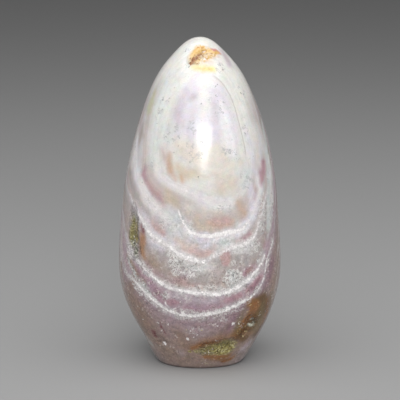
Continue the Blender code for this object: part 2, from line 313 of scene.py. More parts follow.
# soft colour on the front, one wash over the other: colour, softness, strength, and the places in photo
# pixels with the half width there
washes = [
    # the white top, and the heart in it
    ("cream", 19.6, 1, [(203, 45, 30), (203, 70, 40), (203, 100, 50), (203, 132, 56)]),
    ("coolWhite", 11.5, .7, [(170, 75, 4), (161, 98, 6), (157, 118, 7), (155, 140, 7), (153, 160, 5)]),
    ("coolWhite", 9.2, .6, [(190, 47, 3), (186, 56, 3)]),
    ("paleGrey", 11.5, .6, [(160, 84, 2), (151, 100, 3), (147, 120, 3), (143, 135, 2)]),
    ("milk", 7, .7, [(138, 128, 2), (134, 145, 3), (132, 165, 3)]),
    ("paleGrey", 7, .6, [(166, 78, 1), (159, 92, 1.5), (155, 104, 1)]),
    ("straw", 7, .8, [(154, 94, 1.5), (151, 104, 3), (149, 112, 2)]),
    ("lavender", 8.1, .8, [(205, 84, 12), (204, 100, 24), (204, 120, 31), (205, 134, 34)]),
    ("milk", 9.2, .9, [(206, 80, 8), (204, 94, 6), (204, 112, 5)]),
    ("paleMauve", 5.8, .7, [(193, 97, 4), (197, 96, 2)]),
    ("paleMauve", 9.2, .5, [(186, 92, 3), (181, 100, 4), (177, 112, 5)]),
    ("dustyPink", 8.1, .35, [(180, 112, 3), (177, 118, 4), (183, 121, 3)]),
    ("paleMauve", 8.1, .45, [(214, 103, 4), (222, 110, 5), (218, 120, 5)]),
    ("coolWhite", 9.2, .6, [(168, 128, 5), (174, 132, 5), (166, 143, 5)]),
    ("paleGrey", 8.1, .4, [(166, 132, 3), (171, 124, 2), (188, 128, 3)]),
    ("ivory", 15, .85, [(180, 146, 10), (192, 152, 12), (205, 160, 14), (222, 156, 14)]),
    ("tan", 11.5, .35, [(182, 148, 5), (196, 157, 5)]),
    ("paleGrey", 8.1, .35, [(231, 150, 4), (237, 160, 4)]),
    # painted highlight: a white wash that widens the key light's reflection over the heart's right half
    ("white", 10, .8, [(221, 104, 3), (224, 120, 6), (228, 136, 8), (232, 152, 6)]),
    ("cream", 7, .8, [(226, 76, 4), (235, 92, 4), (241, 110, 5), (245, 128, 4)]),
    ("paleGrey", 10.4, .6, [(248, 104, 2.5), (253, 118, 4), (256, 130, 4)]),
    ("lavender", 9.2, .6, [(246, 130, 3), (250, 144, 5), (253, 160, 5), (256, 175, 4)]),
    ("coolWhite", 7, .6, [(258, 128, 2), (263, 145, 3), (267, 158, 3)]),
    ("paleMauve", 7, .8, [(222, 51, 2), (226, 57, 2.5), (229, 64, 2)]),
    ("grey", 5.8, .5, [(224, 55, 1), (229, 62, 1.5)]),
    ("taupe", 5.8, .5, [(143, 124, 1.5), (141, 134, 2.5), (139, 143, 1.5)]),
    # gold and yellow at the tip
    ("paleGold", 7, .85, [(195, 66, 3), (204, 68.5, 4.4), (212, 69, 3)]),
    ("gold", 4, .35, [(193, 65.6, 1.6), (200, 68, 2), (206, 70, 1.4)]),
    ("lemon", 3.4, .6, [(206, 69, 1.6), (212, 68.6, 2)]),
    ("paleGold", 6, .3, [(196, 47, 2), (206, 46, 3)]),
    ("gold", 6, .8, [(194, 58, 4), (197, 52, 4), (206, 52, 3), (214, 53, 2.6)]),
    ("peach", 5.8, .7, [(205, 60, 2.5), (211, 61, 2)]),
    ("crimson", 2.6, .7, [(212, 49.6, .8), (216, 50.8, 1.6), (220, 53, 1)]),
    ("rosy", 3, .5, [(219, 56, 1.4), (213, 58, 1)]),
    # the tan and pink zones below the heart
    ("dustyPink", 8.1, .55, [(162, 149, 3), (165, 158, 5)]),
    ("salmon", 5.8, .8, [(169.5, 153, 1.5), (168.5, 163, 2.5), (171, 173, 2.5)]),
    ("tan", 9.2, .75, [(177, 166, 4), (185, 174, 7), (194, 173, 5)]),
    ("tan", 11.5, .2, [(185, 158, 8), (198, 162, 5)]),
    ("salmon", 4.6, .85, [(181, 176, 2), (182, 182, 2.4)]),
    ("peach", 9, .5, [(216, 176, 5), (221, 185, 9), (231, 184, 8)]),
    ("tan", 8.1, .45, [(228, 178, 6), (222, 190, 6)]),
    ("ivory", 10.4, .5, [(224, 166, 9), (230, 196, 6)]),
    ("coolWhite", 8.1, .85, [(246, 170, 4), (247, 181, 5)]),
    ("tan", 7, .5, [(243, 164, 3)]),
    ("heather", 4.6, .95, [(263.5, 162, 2), (262.5, 170, 3.4), (261, 178, 2.8), (259.5, 185, 1.6)]),
    ("heather", 5.8, .8, [(144, 167, 2), (143, 176, 3.6), (146, 184, 3)]),
    ("mauve", 4.6, .5, [(142, 176, 1.2), (143, 184, 1.6)]),
    ("dustyPink", 7, .9, [(149, 184, 3), (155, 195, 5), (161, 203, 5.5), (165, 209, 3)]),
    ("mauve", 5.8, .6, [(150, 189, 2.4), (159, 202, 3.4)]),
    ("tan", 8.1, .65, [(166, 189, 3), (169, 197, 6), (175, 204, 5)]),
    ("taupe", 8, .25, [(168, 195, 3), (175, 202, 4)]),
    ("milk", 8.1, .9, [(157, 171, 3), (167, 181, 4.5), (180, 188, 5), (192, 194, 5), (203, 199, 5)]),
    ("milk", 8.1, .85, [(206, 201, 5), (220, 202, 6), (236, 198, 4)]),
    ("white", 7, .7, [(206, 206, 3), (218, 207, 4), (230, 205, 3)]),
    ("white", 5, .75, [(137, 137, 2), (135, 158, 2.6), (137.5, 177, 3), (145, 191, 3.4), (154, 206, 3.4),
        (162, 215, 2.6)]),
    ("grey", 4.4, .9, [(130, 172, 1.2), (131.5, 182, 1.8), (135.4, 194, 2.4), (142.5, 207, 2.8),
        (150, 215, 2.2)]),
    ("grey", 5, .6, [(124, 188, 2), (122.5, 205, 2.4)]),
    ("straw", 5, .4, [(124, 190, 2), (123, 204, 2)]),
    ("ivory", 4, .45, [(123, 222, 1.4), (121.5, 240, 1.6), (123, 258, 1.4)]),
    ("lavender", 5.8, .8, [(200, 193, 3), (201, 203, 3)]),
    ("ivory", 9.2, .5, [(188, 207, 5), (189, 218, 4)]),
    ("tan", 7, .5, [(204, 209, 3), (212, 212, 4), (221, 213, 3)]),
    ("tan", 8, .6, [(198, 219, 3), (200, 226, 5), (210, 228, 4)]),
    ("dustyPink", 5, .75, [(214, 220, 4), (226, 222, 6), (231, 224, 4)]),
    ("salmon", 5, .4, [(196, 216, 2.4), (202, 218, 2)]),
    ("peach", 4.6, .7, [(223, 223, 2)]),
    ("salmon", 7, .6, [(239, 203, 4), (243, 212, 4.5), (247, 219, 3.4)]),
    ("amber", 4.6, .35, [(247, 213, 1.2), (248, 220, 1.6)]),
    ("coolWhite", 7, .6, [(236, 224, 4), (243, 226, 3)]),
    ("lavender", 5.8, .85, [(250, 188, 4), (254, 203, 5), (251, 217, 5), (243, 227, 4)]),
    ("heather", 5.2, .8, [(257, 189, 2), (256, 199, 2.6)]),
    ("coolWhite", 5, .9, [(262, 122, 1.6), (267, 150, 2), (269, 175, 2.4), (269, 200, 2.6), (269, 226, 2.4)]),
    ("milk", 6, .5, [(254, 128, 2), (258, 150, 3), (260, 166, 2)]),
    ("paleGrey", 4, .5, [(264, 186, 1), (263, 205, 1.2), (261, 225, 1.4)]),
    ("dustyPink", 4, .45, [(263, 196, 1), (260, 212, 1.4)]),
    ("grey", 7, .5, [(136, 190, 1.5), (141, 203, 3), (148, 213, 3)]),
    ("milk", 8.1, .9, [(138, 180, 2), (146, 196, 5), (156, 208, 6), (167, 217, 4)]),
    ("coolWhite", 11.5, .65, [(168, 211, 6), (177, 222, 8), (173, 233, 6)]),
    ("lavender", 9.2, .75, [(141, 212, 3), (150, 226, 5), (162, 236, 5), (175, 245, 4)]),
    ("dustyPink", 5.8, .8, [(152, 221, 2), (158, 228, 4), (164, 233, 3)]),
    # the white arcs, and what lies between them
    ("white", 7, .8, [(243, 227, 2), (250, 220, 3), (254, 211, 3), (257, 202, 2.6), (259, 190, 2.2),
        (258, 178, 1.6)]),
    ("white", 7, .8, [(184, 228, 2), (192, 236, 3), (212, 238, 4), (234, 234, 4.5), (246, 227, 4)]),
    ("lavender", 4.1, .95, [(204, 239, 9), (204, 243, 5), (204, 247, 1.5)]),
    ("coolWhite", 5.8, .7, [(222, 242, 5), (232, 243, 5)]),
    ("peach", 7, .7, [(177, 240, 3), (183, 244, 4), (191, 250, 4)]),
    ("rosy", 6, .65, [(192, 252, 4), (202, 254, 6), (212, 252, 4)]),
    ("salmon", 5.8, .7, [(196.7, 245.5, 1.6)]),
    ("dustyPink", 5.8, .5, [(197, 254, 3.4), (207, 256, 3.4)]),
    ("dustyPink", 7, .75, [(236, 241, 3), (250, 236, 4)]),
    ("heather", 4.6, .9, [(244, 238, 2.5), (249, 236, 3)]),
    ("coolWhite", 7, .7, [(220, 247, 3), (231, 246, 4), (241, 244, 3)]),
    ("lavender", 8.1, .8, [(147, 239, 3), (154, 245, 4.5), (160, 248, 4)]),
    ("taupe", 9, .7, [(146, 252, 2), (150, 260, 6), (157, 269, 6)]),
    ("mauve", 6, .55, [(146, 262, 2), (153, 270, 2.4), (162, 277, 2.4), (172, 283, 2)]),
    ("grey", 12.7, .8, [(170, 261, 5), (185, 270, 9), (202, 276, 9)]),
    ("taupe", 9.2, .45, [(168, 272, 3), (180, 280, 4)]),
    ("paleGrey", 5.8, .7, [(184, 262, 2), (195, 266, 2.4), (206, 267, 2)]),
    ("dustyPink", 8, .8, [(176, 281, 3), (188, 286, 4), (200, 288, 3)]),
    ("mauve", 8.1, .55, [(176, 270, 3), (188, 277, 3)]),
    ("paleGrey", 8.1, .6, [(209, 267, 3), (212, 275, 4)]),
    ("tan", 6, .4, [(213, 281, 3)]),
    ("peach", 4.6, .7, [(221, 286, 2.5)]),
    ("grey", 9.2, .85, [(237, 253, 4), (248, 251, 6), (257, 246, 4), (246, 263, 5)]),
    ("paleGrey", 8.1, .7, [(230, 270, 4), (232, 281, 5)]),
    ("heather", 4.6, .6, [(264, 247, 2), (267, 242, 2.4)]),
    ("lavender", 4.6, .9, [(228, 291, 2), (236, 287, 2.4), (245, 281.5, 2.6), (253, 275.5, 2)]),
    ("taupe", 7, .8, [(128, 256, 1.5), (134, 268, 3), (143, 279, 3.5)]),
    ("mauve", 6, .65, [(136, 268, 2), (146, 279, 3.4), (153, 286, 3)]),
    ("mauve", 5.8, .95, [(150, 284, 3), (157, 292, 4.5), (163, 300, 4)]),
    ("plum", 5, .4, [(154, 289, 2), (160, 297, 2.6)]),
    ("paleMauve", 5.8, .8, [(172, 296, 2), (186, 299, 2.6), (205, 301, 3), (222, 299, 2.4)]),
    ("mauve", 5.8, .9, [(186, 307, 3), (204, 309, 4), (221, 306, 3.6)]),
    ("heather", 4, 1, [(226, 301, 2.4), (234, 298.6, 4), (240, 295.5, 3)]),
    ("heather", 4, 1, [(248, 290.5, 2.6), (254, 285.5, 3.6), (261, 277, 2.4)]),
    ("milk", 3, .5, [(242.6, 296, 1), (245.6, 289, 1)]),
    ("plum", 4, .5, [(251, 288, 1.6), (260, 279, 2)]),
    ("heather", 2.6, .95, [(169, 303, 2), (174, 302.6, 3.4), (178, 303, 2)]),
    ("plum", 3, .5, [(173, 303, 2)]),
    # the milk on both sides of the white lines
    ("milk", 6, .85, [(141, 218, 1.5), (150, 232, 2.5), (163, 242, 3), (176, 250, 3), (186, 257, 4),
        (197, 260, 2.5)]),
    ("milk", 6, .85, [(214, 254, 1.5), (228, 249, 3), (242, 245, 3.5), (252, 239, 3)]),
    ("milk", 5, .7, [(146, 269, 1), (160, 281, 2), (175, 289, 2), (200, 293, 2.4), (226, 292, 2.6),
        (240, 285, 3), (252, 275, 2)]),
    ("milk", 6, .6, [(182, 263, 2), (192, 267, 4), (204, 268.6, 4.4), (213, 266, 2)]),
    ("white", 4.6, .85, [(237, 252, 1.6), (245, 249, 2.6), (251, 245.6, 2)]),
    # the pink orb, and the lens to the right of it
    ("dustyPink", 2.2, 1, [(225.5, 256, 5.8), (226, 261.5, 5.2)]),
    ("mauve", 2.2, 1, [(244, 274, 1.8), (249, 271.6, 4.2), (254, 268.4, 2.4)]),
    ("sienna", 3, .45, [(247, 272.6, 2.4), (251, 270.6, 2.4)]),
    # touches over the bands
    ("salmon", 6, .55, [(168, 162, 1.6), (171, 170, 3), (175, 179, 3.4)]),
    ("tan", 7, .5, [(186, 176, 3), (197, 178, 4), (207, 178, 3)]),
    ("milk", 11, .35, [(186, 206, 5), (203, 209, 9), (226, 206, 7)]),
    ("salmon", 6, .6, [(208, 222, 3), (220, 224, 4.4), (232, 222, 4)]),
    ("rosy", 5, .6, [(217, 220, 3), (229, 221, 4)]),
    ("grey", 6, .5, [(150, 248, 2.4), (162, 254, 3.4), (173, 257, 2.6)]),
    ("white", 3.6, .6, [(269, 158, 1.6), (271, 178, 2.2), (271.6, 204, 2)]),
    ("plum", 5, .6, [(239, 306, 3), (246, 309, 3), (234, 320, 4), (229, 328, 3)]),
    ("bodyBrown", 5, .8, [(121, 262, 2), (122, 284, 3), (126, 304, 3.4), (131, 322, 3)]),
    # the body below the lowest arc
    ("lavender", 4.6, .45, [(176, 318, .8), (196, 321, 1), (214, 319, 1), (232, 312.5, .8)]),
    ("bodyMauve", 12.7, .85, [(175, 321, 3), (200, 326, 6), (222, 322, 6), (238, 314, 4)]),
    ("bodyBrown", 15, .7, [(128, 288, 3), (136, 306, 8), (146, 326, 8)]),
    ("taupe", 11.5, .4, [(120, 290, 2), (126, 308, 3), (134, 326, 3)]),
    ("bodyBrown", 6, .6, [(131, 262, 2), (136, 273, 3), (132, 286, 4)]),
    ("plum", 5, .5, [(137, 263, 1.6), (140, 275, 2), (139, 288, 2)]),
    ("plum", 5, .5, [(149, 271, 1.6), (158, 278, 1.6)]),
    ("plum", 5, .55, [(168, 284, 1.6), (174, 287, 1.6), (184, 276, 2)]),
    ("plum", 6, .6, [(233, 302, 2), (245, 305, 4), (236, 312, 3)]),
    ("plum", 4, .6, [(253, 289, 2), (259, 281, 2)]),
    ("umber", 6, .4, [(228, 324, 3), (222, 334, 4)]),
    ("bodyBrown", 12.7, .7, [(178, 332, 6), (188, 347, 8)]),
    ("plum", 10.4, .45, [(228, 316, 3), (240, 319, 4), (226, 331, 4)]),
    ("plum", 8.1, .6, [(262, 292, 2), (270, 276, 3), (272, 260, 3)]),
    ("taupe", 7, .8, [(273, 290, 3), (270, 306, 4), (263, 322, 4)]),
    ("paleGrey", 7, .6, [(138, 331, 2), (144, 337, 4), (150, 342, 3)]),
    ("paleMauve", 8.1, .5, [(182, 353, 4)]),
    ("paleMauve", 7, .7, [(250, 342, 2), (243, 349, 3)]),
    ("grey", 5.8, .7, [(120, 236, 1), (120, 262, 2), (123, 284, 2)]),
    # brown and gold low on the right, and round the foot
    ("umber", 7, .95, [(250, 303, 4), (262, 300, 6), (263, 312, 7), (255, 323, 8), (243, 331, 7)]),
    ("umber", 9, .8, [(270, 297, 1.6), (268, 308, 2.4), (264, 319, 3), (257, 331, 4)]),
    ("amber", 10, .55, [(194, 346, 3), (206, 342, 5), (220, 339, 5), (236, 335, 5)]),
    ("amber", 6, .85, [(251, 301, 4), (255, 308, 6), (249, 316, 4.6), (243, 326, 4.6)]),
    ("sienna", 6, .5, [(263, 318, 3), (256, 328, 4), (246, 334, 4)]),
    ("olive", 7, .6, [(245, 309, 2.4), (241, 318, 3.4), (237, 327, 4)]),
    ("olive", 6, .5, [(262, 304, 2), (261, 316, 3), (256, 327, 4)]),
    ("bodyBrown", 6, .6, [(270, 300, 1.4), (268, 312, 1.6)]),
    ("taupe", 5, .4, [(262, 330, 2), (254, 340, 2)]),
    ("amber", 6, .8, [(193, 348, 2), (200, 345.5, 3.4), (209, 344, 4), (219, 343, 3.4), (226, 341, 2)]),
    ("mossy", 8, .8, [(203, 351, 4), (213, 350, 5.4), (225, 347, 7)]),
    ("amber", 5.8, .9, [(206, 357, 3), (220, 357.6, 3.8), (229, 355, 2.4)]),
    ("amber", 4.6, .75, [(223, 360.5, 2.2), (228, 359.5, 2.4), (234, 356, 1.6)]),
    # the druse pocket high on the left
    ("mossy", 4.6, .85, [(134, 219, 2.4), (133, 228, 4), (133, 238, 4), (134, 244, 3)]),
    ("olive", 4, .7, [(136.8, 221, 1.4), (137.4, 231, 2), (137.2, 243, 2)]),
    ("paleGrey", 4, .5, [(134, 217, 2), (136, 222, 1.6)]),
    ("tan", 3, .6, [(138, 226, 1), (138.6, 240, 1)]),
    ("sienna", 4.6, .95, [(142, 234, 2.4), (142, 243, 3.2), (142, 251, 2.8), (144, 257, 1.6)]),
    ("umber", 2.4, .35, [(140, 238, .6), (140, 252, .8)]),
    ("plum", 4.6, .6, [(141, 225, 2), (143, 232, 2.2)]),
]
# stains and crusts with ragged edges: strokes of places with half widths, then softness and strength;
# each has dark and light grains in it
pigments = {
    "gold": {
        "colour": (0.68, 0.43, 0.14), "dark": (0.46, 0.22, 0.06), "light": (0.84, 0.72, 0.42),
        "ragged": 0.6, "grains": 0.7,
        "strokes": [([(191, 61, 1.4), (194, 54, 3), (199, 49, 4), (206, 50, 3.4), (214, 53, 2.4),
            (219, 52, 1)], 5, .75), ([(203, 47, 1.4), (209, 47.4, 1.2)], 4, .35),
            ([(197, 61, 3), (206, 58, 3.4), (214, 55, 2)], 6, .6),
            ([(205, 70, 3.4), (211, 69.5, 2.4)], 4, .35), ([(210, 57, 3)], 5, .5)],
    },
    "rust": {
        "colour": (0.30, 0.12, 0.04), "dark": (0.12, 0.05, 0.02), "light": (0.50, 0.27, 0.10),
        "ragged": 0.7, "grains": 0.8,
        "strokes": [([(190.5, 64, 1.6), (193, 60, 2.6), (196, 57, 2), (203, 53.5, .8)], 4, .75),
            ([(205, 54.4, .5), (212, 53.6, .8), (217, 54, .6)], 2, .5),
            ([(254, 302, 2), (256, 305, 3.4), (253, 312, 3.4), (248, 317, 2.4)], 6, .6),
            ([(245, 321, 3), (241, 330, 4)], 6, .65), ([(267, 299, 1.4), (268, 308, 2),
            (264, 320, 2.4)], 9, .6), ([(193, 348, 1.6), (199, 345.6, 2.4), (208, 343.4, 2.4),
            (218, 341.6, 2), (228, 340, 1)], 6, .65), ([(207, 356, 1), (220, 356.6, 1.6)], 4, .6),
            ([(222, 361, 1.6), (230, 359, 1.8)], 3.5, .7), ([(141.5, 242, 1), (142, 250, 1)], 4, .35)],
    },
    "darkRed": {
        "colour": (0.20, 0.075, 0.08), "dark": (0.09, 0.03, 0.03), "light": (0.42, 0.26, 0.25),
        "ragged": 0.7, "grains": 0.6,
        "strokes": [([(154, 332, 2.4), (157, 336, 3)], 5, .7),
            ([(160, 321, .8), (162, 328, 1.3), (165, 334, .8)], 3, .7),
            ([(141, 224, 1.6), (144, 231, 2)], 4, .6)],
    },
    "crust": {
        "colour": (0.38, 0.32, 0.10), "dark": (0.12, 0.08, 0.03), "light": (0.72, 0.66, 0.34),
        "ragged": 0.8, "grains": 1.3,
        "strokes": [([(196, 350.6, 1), (204, 351, 2.4), (213, 350.5, 4), (226, 348, 5.6),
            (232, 346, 3)], 8, .9), ([(190, 351, 2)], 2.4, .9), ([(206, 363.5, 1.6)], 3, .7),
            ([(133, 221, 2.6), (132.6, 231, 4), (133.6, 241, 3)], 5, .4),
            ([(136.6, 223, 1.6), (137, 233, 2), (137, 242, 1.6)], 4, .5),
            ([(239, 331, 3), (244, 327, 2)], 5, .5)],
    },
    "lace": {
        "colour": (0.52, 0.52, 0.51), "dark": (0.17, 0.17, 0.165), "light": (0.84, 0.83, 0.82),
        "ragged": 0.9, "grains": 1.3,
        "strokes": [([(229, 271, 2.4), (235, 276, 4), (232, 285, 3)], 6, .95),
            ([(257, 262, 1.4), (262, 250, 1.6)], 4, .6), ([(128, 259, 1.6), (134, 272, 2), (142, 284, 3),
            (148, 292, 3)], 5, .65), ([(176, 259, 2.4), (188, 266, 4), (200, 268, 3)], 6, .6),
            ([(212, 264, 2), (222, 262, 2)], 5, .45), ([(212, 312, 1.4), (224, 309, 2)], 4, .6),
            ([(232, 250, 2), (246, 247, 3), (256, 243, 2)], 6, .5)],
    },
    "druse": {
        "colour": (0.46, 0.46, 0.37), "dark": (0.10, 0.10, 0.08), "light": (0.80, 0.80, 0.68),
        "ragged": 0.9, "grains": 1.4,
        "strokes": [([(134, 244, 2.4), (135.6, 251, 3.4), (137, 257, 2)], 4, .9),
            ([(137.4, 225, .3), (138, 234, .4), (138.6, 243, .4)], 1.4, .75),
            ([(249, 320.5, 1), (253, 318.8, 1.2), (254.4, 322.5, 1.2), (251, 324.8, .9),
            (248, 323.6, .8)], 2, .95)],
    },
}
# a band's white line fades inwards over the first softness and outwards over the second
whiteBandsAndRimReflection = {
    "colour": (0.72, 0.67, 0.68), "core": (0.90, 0.87, 0.86), "ragged": 0.35,
    "fringed": ("middleArc", "lowArc", "lowestArc"),
    "lines": {"innerArc": (1.6, 2.2, 1), "leftArc": (6.0, 5.0, .6), "middleArc": (6.0, 2.4, .85),
        "lowArc": (3.8, 2.2, .95), "lowestArc": (2.6, 2.0, .95), "creamArc": (8.0, 6.0, .6),
        "leftThread": (1.6, 1.6, .6), "outerThread": (2.4, 2.4, .8), "rightThread": (2.4, 2.4, .8),
        # the next entry is a painted reflection along the lower right edge
        "edgeThread": (1.8, 1.8, .55)},
    "milkEdge": (0.1, 0.85), "milk": 0.8,     # a soft milky line with a broken core
    "coreEdge": (0.5, 0.85), "coreSize": 3.0, "coreGaps": (-1.2, 0.0),
    # outlines of single shapes: the lens on the right, the loop low on the left, and the pink orb
    "outlines": [[(240.5, 275, .5), (245, 269, .5), (251, 265, .6), (257.5, 263.6, .5)],
        [(240.5, 275, .5), (247, 278.5, .7), (254, 275.5, .7), (258, 265, .5)],
        [(165, 303, .4), (168, 298, .6), (174, 296.4, .5), (180, 298.4, .3), (181.6, 303, .4)],
        [(165, 303, .4), (170, 308.4, .6), (177, 308.4, .5), (181.6, 303, .4)],
        [(219.5, 257, .2), (222, 251, .3), (229, 250.6, .3), (232.4, 256, .2)]],
}
# where the heart's edge is a thin dark line, and where fine parallel layers show
thinLines = {
    "heartLine": [([(216, 76, 2), (225, 86, 2), (232, 100, 2), (237, 116, 2), (242, 134, 2),
        (246, 152, 2)], 5, 1)],
    "layered": [([(190, 268, 3), (200, 270, 3), (210, 268, 3)], 6, 1),
        ([(150, 208, 3), (166, 224, 4)], 8, .6), ([(140, 150, 5), (142, 185, 5), (134, 215, 3)], 8, .7),
        ([(262, 140, 4), (266, 180, 4), (268, 230, 4)], 8, .7), ([(128, 262, 3), (136, 284, 3)], 8, .5),
        ([(226, 238, 2), (242, 234, 2)], 6, .5)],
}
# where the stone is a mesh of white threads and small cells
lacyPlaces = [(184, 270, 18, 9, 8, 14, .6), (174, 264, 6, 15, -18, 7, 1.1), (233, 279, 10, 9, -16, 6, 1.3),
    (238, 262, 7, 5, -30, 6, .6), (138, 286, 12, 6, 42, 8, .9), (150, 298, 12, 5, 40, 6, .9),
    (166, 296, 5, 5, 0, 6, .7), (186, 300, 6, 4, 0, 6, .6), (262, 213, 5, 24, 0, 8, .7),
    (134, 250, 5, 8, 0, 5, .8), (229, 245, 12, 4, -6, 6, .6), (207, 289, 26, 4, 0, 8, .5),
    (210, 312, 40, 4, 0, 6, .55), (190, 229, 8, 8, 0, 8, .5), (253, 246, 10, 8, -20, 10, .6),
    (196, 332, 14, 8, 0, 10, .4), (222, 318, 10, 5, 0, 8, .5), (166, 222, 14, 9, 20, 12, .45),
    (131, 150, 7, 34, 8, 10, .45), (270, 200, 4, 30, 0, 8, .5)]
# where the white stone is flecked with grey
fleckedPlaces = [(219, 67, 7, 4, -30, 5, .9), (166, 101, 5, 9, 20, 8, .8), (219, 104, 9, 14, -20, 10, .8),
    (157, 116, 3, 9, 0, 5, .8), (171, 133, 9, 11, 0, 9, .8), (193, 128, 6, 7, 0, 6, .7),
    (192, 150, 14, 9, 0, 10, .5), (233, 152, 11, 12, 0, 10, .6), (245, 128, 4, 12, 0, 6, .5),
    (190, 219, 10, 8, 0, 8, .9), (222, 207, 10, 7, 0, 8, .6), (146, 172, 6, 12, 0, 8, .6),
    (247, 181, 7, 9, 0, 8, .7), (265, 225, 7, 18, 0, 8, .8), (152, 200, 8, 9, 30, 8, .4),
    (241, 92, 4, 8, 0, 5, .6), (186, 50, 4, 3, 0, 4, .5), (189, 66, 3, 3, 0, 3, .6)]
# single specks, each with its radius in mm, at photo pixels: dark pits, and bright ones that are partly white
# and gold crystal grains and partly painted glints
specksAndGlints = {
    "dark": {"colour": (0.12, 0.12, 0.12), "radius": 0.38, "strength": 0.6,
        "places": [(200.6, 142.6), (203.2, 143), (178.6, 146), (173.5, 152.6), (152, 157), (201.4, 104),
        (218, 101.4), (217.4, 84), (215.6, 86), (241, 93), (169.4, 98), (186, 51), (189, 67), (245, 133),
        (220, 65.6), (222.6, 69.4), (199, 177), (141.8, 182), (190.4, 162), (166.4, 137), (201.4, 158.6),
        (251.4, 322), (139.4, 290.8), (144.4, 299.4), (147, 303.4), (168, 309.6), (186.3, 360.6),
        (192.6, 358.6), (195, 286), (134, 240)]},
    # painted glints: small bright white spots, partly white crystal grains and partly glints of light
    "white": {"colour": (0.90, 0.86, 0.84), "radius": 0.36, "strength": 0.85,
        "places": [(202.4, 52.6), (204.4, 52), (204.6, 59.4), (161.7, 321.9), (168.5, 324.7), (142.7, 319),
        (145, 300), (139.3, 292.6), (139.8, 294.8), (162, 330.5), (190.3, 331), (197.4, 334.6),
        (193.6, 337.3), (158, 323), (136, 322), (215.9, 324.7), (217.4, 326), (238.7, 323.3), (223, 327),
        (180.4, 302), (134, 236.6), (134.8, 238.4), (270.6, 158), (271.2, 161.4)]},
    # painted glints: larger bright spots, partly crystals and partly glints of light
    "crystalGlints": {"colour": (0.92, 0.88, 0.87), "radius": 0.66, "strength": 0.9,
        "places": [(164, 342.4), (165.4, 343.8), (233.2, 323.8), (187.8, 339.2), (183, 313),
        (184.6, 314.6)]},
    # painted glints: gold spots, partly gold grains and partly glints of light
    "giltGlints": {"colour": (0.74, 0.60, 0.33), "radius": 0.34, "strength": 0.85,
        "places": [(244, 327.4), (245.4, 325.8), (245, 332.6), (246, 331.2), (238.2, 333.6), (186, 329.4),
        (201.7, 330.2), (206.6, 345.6), (226.3, 357.4), (212, 348), (222, 345), (216.4, 352.4),
        (238.6, 322.4), (242.6, 336), (250.6, 305), (247.6, 311.4), (258, 302)]},
}
# washes on the sides and the back: colour, softness, strength, and the places by turn and height with the
# half width there, in mm
hiddenWashes = [
    ("ivory", 26, .7, [(100, 100, 8), (140, 98, 10), (180, 100, 10), (-140, 96, 10), (-100, 100, 8)]),
    ("cream", 22, .9, [(100, 132, 12), (150, 132, 14), (-150, 132, 14), (-100, 132, 12)]),
    ("milk", 7, .6, [(175, 142, 7), (180, 118, 6)]),
    ("lavender", 6, .5, [(-170, 122, 5), (-150, 108, 6), (-135, 96, 4)]),
    ("coolWhite", 6, .5, [(120, 118, 4), (135, 100, 5), (140, 84, 4)]),
    ("dustyPink", 5, .6, [(172, 88, 5), (180, 78, 6), (-166, 72, 5)]),
    ("rosy", 2.5, .8, [(-158, 82, 3.2), (-152, 84, 2.2)]),
    ("tan", 5, .7, [(150, 78, 5), (162, 68, 6)]),
    ("peach", 8, .5, [(110, 92, 5), (124, 84, 6)]),
    ("rosy", 6, .4, [(-124, 86, 5), (-112, 76, 5)]),
    ("peach", 3, .7, [(150, 60, 3), (163, 57, 3)]),
    ("heather", 3, .8, [(-140, 62, 3), (-128, 56, 3.4), (-118, 52, 2.4)]),
    ("taupe", 6, .7, [(108, 78, 3), (112, 64, 5), (116, 50, 4)]),
    ("amber", 2.5, .7, [(105, 73, 1), (108, 66, 1.6), (110, 58, 1.4), (113, 52, .8)]),
    ("olive", 3, .6, [(118, 70, 1.6), (119, 60, 1.8)]),
    ("gold", 4, .6, [(160, 106, 3), (166, 97, 4), (170, 88, 2)]),
    ("amber", 3, .5, [(163, 100, 2), (168, 92, 1.6)]),
    ("bodyMauve", 12, .6, [(120, 34, 7), (150, 30, 9), (180, 34, 9), (-150, 34, 8), (-110, 36, 6)]),
    ("bodyBrown", 8, .6, [(100, 22, 6), (140, 14, 6), (175, 16, 6)]),
    ("olive", 4, .7, [(-160, 22, 3), (-150, 22, 5), (-142, 24, 3)]),
    ("amber", 3, .6, [(-164, 18, 1.6), (-150, 16.5, 2), (-138, 18, 1.4)]),
    ("plum", 5, .5, [(-120, 24, 3), (-106, 30, 4)]),
    ("straw", 3, .6, [(-119, 114, 2), (-115, 108, 2)]),
]


# colours of the shells from the heart outwards: depth, colour
shellColours = [
    (0, (0.66, 0.62, 0.67)), (12.8, (0.62, 0.59, 0.62)), (14.0, (0.66, 0.65, 0.62)),
    (17.0, (0.66, 0.64, 0.61)),
    (18.5, (0.55, 0.49, 0.47)), (22.0, (0.53, 0.45, 0.42)), (23.4, (0.60, 0.57, 0.58)),
    (25.5, (0.58, 0.55, 0.57)),
    (28.6, (0.53, 0.44, 0.42)), (29.8, (0.58, 0.55, 0.56)), (31.5, (0.45, 0.395, 0.385)),
    (37.5, (0.42, 0.345, 0.325)),
    (39.2, (0.52, 0.48, 0.50)), (40.6, (0.43, 0.34, 0.37)), (43.0, (0.42, 0.32, 0.35)),
    (44.2, (0.46, 0.39, 0.41)),
    (46.0, (0.35, 0.262, 0.28)), (50, (0.33, 0.24, 0.225)), (56, (0.32, 0.228, 0.188)),
    (64, (0.36, 0.275, 0.255)),
    (74, (0.42, 0.36, 0.36)), (86, (0.36, 0.28, 0.26)), (100, (0.40, 0.34, 0.34)),
]
# the white bands of the sides and the back: depth, half width
hiddenBands = [(13.7, .5), (23.5, .9), (29.8, .8), (39.3, .9), (44.2, .8), (53.5, .9), (58.0, .5),
    (67.0, 1.0), (79.0, .8), (84.5, .5), (93.0, 1.0)]

